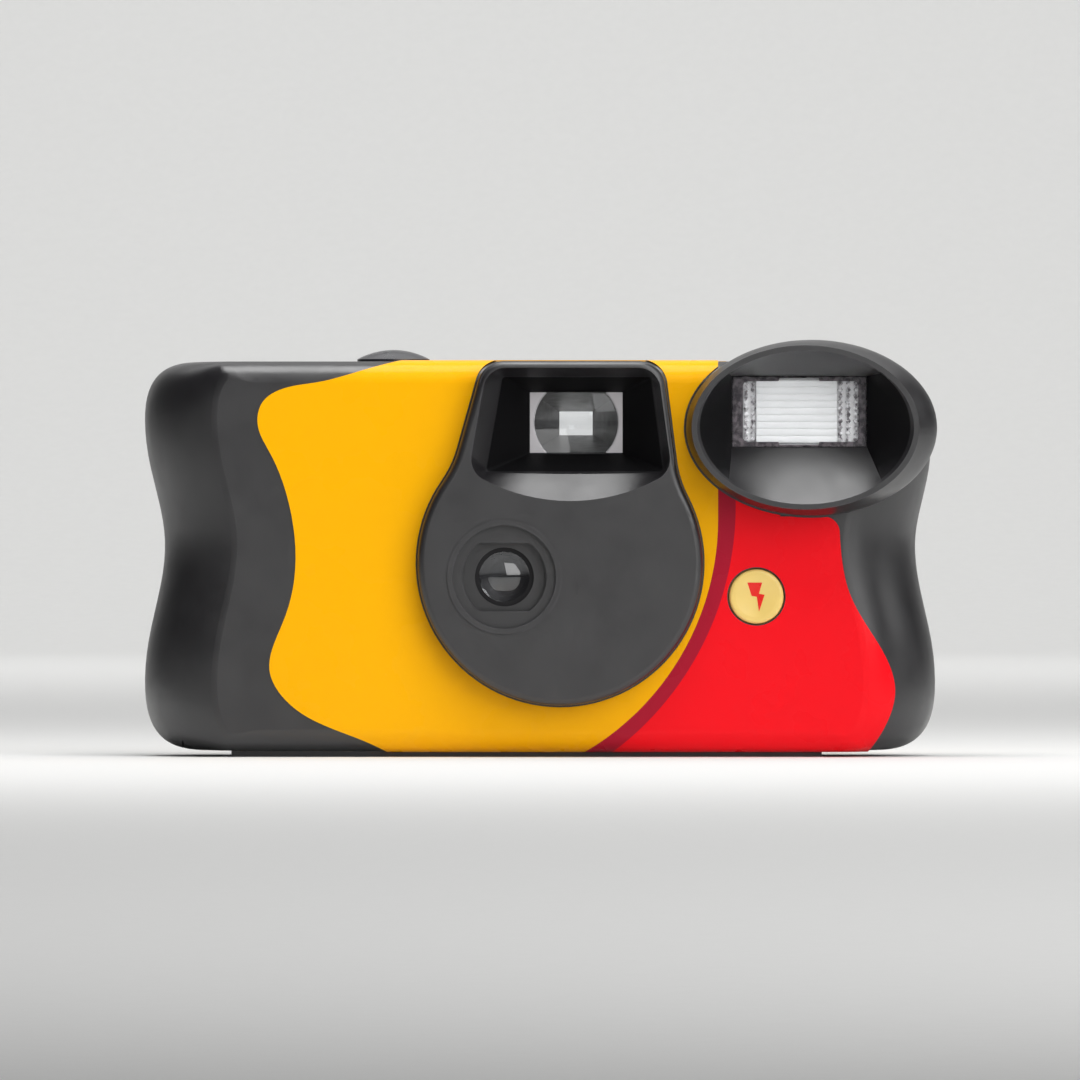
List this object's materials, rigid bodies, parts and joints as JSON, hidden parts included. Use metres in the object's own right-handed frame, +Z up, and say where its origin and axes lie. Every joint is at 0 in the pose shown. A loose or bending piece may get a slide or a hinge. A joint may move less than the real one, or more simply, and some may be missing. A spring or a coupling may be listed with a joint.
{
  "type": "disposable film camera",
  "caption": "Pocket single-use film camera with an oval flash hood, a recessed finder, a wrap label, a thumb winding wheel and a hinged film door.",
  "frame": {"origin": "on the table under the body, at the middle of its width, 2 mm ahead of the plane where the front and rear covers meet", "axes": "+Z up, -Y the way the lens looks, +X to the right as seen from the front"},
  "size_m": [0.1184, 0.0377, 0.0621],
  "materials": {
    "body_plastic": "fine moulded satin",
    "label_yellow": "printed glossy film",
    "label_red": "printed glossy film",
    "button_plastic": "satin moulding",
    "flash_button_plastic": "gloss moulding",
    "frame_plastic": "matt moulding",
    "clear_plastic": "clear polished moulding",
    "flash_diffuser": "ribbed clear moulding",
    "amber_plastic": "amber moulding",
    "lamp_glass": "clear glass",
    "reflector_metal": "bright formed sheet",
    "cassette_metal": "lacquered sheet",
    "cap_metal": "black lacquered sheet",
    "spool_plastic": "matt moulding",
    "film_base": "gloss film base",
    "gear_plastic": "self-coloured moulding",
    "dial_plastic": "printed disc",
    "lever_plastic": "self-coloured moulding",
    "spring_steel": "drawn wire and strip",
    "blade_metal": "blackened sheet",
    "board_laminate": "lacquered laminate",
    "capacitor_sleeve": "shrunk sleeve",
    "coil_winding": "enamelled wire",
    "resistor_body": "lacquered body",
    "battery_sleeve": "printed steel can"
  },
  "bodies": {
    "camera_body": {"front_cover": "body_plastic", "rear_cover": "body_plastic", "label_yellow": "label_yellow", "label_red": "label_red", "main_frame": "frame_plastic", "mechanism_plate": "frame_plastic", "lens_holder": "frame_plastic", "lens_retainer": "frame_plastic", "finder_front_lens": "clear_plastic", "finder_eyepiece": "clear_plastic", "taking_lens": "clear_plastic", "counter_window": "clear_plastic", "flash_lens": "flash_diffuser", "ready_light_lens": "amber_plastic", "flash_tube": "lamp_glass", "ready_lamp": "lamp_glass", "flash_reflector": "reflector_metal", "cassette_shell": "cassette_metal", "cassette_end_caps": "cap_metal", "film_strip": "film_base", "lever_spring": "spring_steel", "metering_spring": "spring_steel", "shutter_spring": "spring_steel", "button_spring": "spring_steel", "negative_spring": "spring_steel", "positive_contact": "spring_steel", "flash_switch_leaf": "spring_steel", "sync_contacts": "spring_steel", "tube_leads": "spring_steel", "circuit_board": "board_laminate", "flash_capacitor": "capacitor_sleeve", "flash_transformer": "coil_winding", "trigger_coil": "coil_winding", "resistors": "resistor_body", "battery": "battery_sleeve"},
    "winding_wheel": {"thumbwheel": "button_plastic", "cassette_spool": "spool_plastic"},
    "sprocket": {"sprocket_wheel": "gear_plastic", "shutter_cam": "gear_plastic"},
    "counter": {"counter_wheel": "dial_plastic"},
    "film_supply": {"supply_spool": "spool_plastic", "film_roll": "film_base"},
    "strike_lever": {"high_energy_lever": "lever_plastic"},
    "catch_lever": {"metering_lever": "lever_plastic"},
    "shutter": {"shutter_blade": "blade_metal"},
    "release_button": {"shutter_button": "button_plastic"},
    "flash_switch": {"flash_button": "flash_button_plastic"},
    "film_door": {"cassette_door": "body_plastic"}
  },
  "joints": [
    {"name": "winding_spin", "type": "hinge", "parent": "camera_body", "child": "winding_wheel", "pos_m": [-0.0408, 0.0006, 0.0523], "axis": [0, 0, 1], "continuous": true},
    {"name": "sprocket_spin", "type": "hinge", "parent": "camera_body", "child": "sprocket", "pos_m": [-0.0195, 0.00475, 0.0409], "axis": [0, 0, 1], "continuous": true},
    {"name": "counter_spin", "type": "hinge", "parent": "camera_body", "child": "counter", "pos_m": [-0.0115, 0.0035, 0.0533], "axis": [0, 0, 1], "continuous": true},
    {"name": "supply_spin", "type": "hinge", "parent": "camera_body", "child": "film_supply", "pos_m": [0.0262, 0.0042, 0.0268], "axis": [0, 0, 1], "continuous": true},
    {"name": "strike_swing", "type": "hinge", "parent": "camera_body", "child": "strike_lever", "pos_m": [-0.0145, -0.001, 0.047], "axis": [0, 0, -1], "range_deg": [0, 30], "stiffness_Nm_per_rad": 0.001},
    {"name": "catch_swing", "type": "hinge", "parent": "camera_body", "child": "catch_lever", "pos_m": [-0.0244, -0.0086, 0.0487], "axis": [0, 0, 1], "range_deg": [0, 8], "stiffness_Nm_per_rad": 0.0005},
    {"name": "shutter_swing", "type": "hinge", "parent": "camera_body", "child": "shutter", "pos_m": [-0.0125, -0.00995, 0.036], "axis": [0, -1, 0], "range_deg": [0, 25.5]},
    {"name": "release_press", "type": "slide", "parent": "camera_body", "child": "release_button", "axis": [0, 0, -1], "range_m": [0, 0.0012], "stiffness_N_per_m": 400, "deforming": ["button_spring"]},
    {"name": "flash_press", "type": "slide", "parent": "camera_body", "child": "flash_switch", "axis": [0, 1, 0], "range_m": [0, 0.0006], "stiffness_N_per_m": 500},
    {"name": "film_door_swing", "type": "hinge", "parent": "camera_body", "child": "film_door", "pos_m": [-0.0274, 0.0015, 0.0019], "axis": [0, -1, 0], "range_deg": [0, 95]}
  ],
  "couplings": [
    {"joint": "sprocket_spin", "follows": "winding_spin", "ratio": 0.94248},
    {"joint": "counter_spin", "follows": "winding_spin", "ratio": -0.031416},
    {"joint": "supply_spin", "follows": "winding_spin", "ratio": 0.67857},
    {"joint": "shutter_swing", "follows": "strike_swing", "ratio": 0.83333}
  ]
}
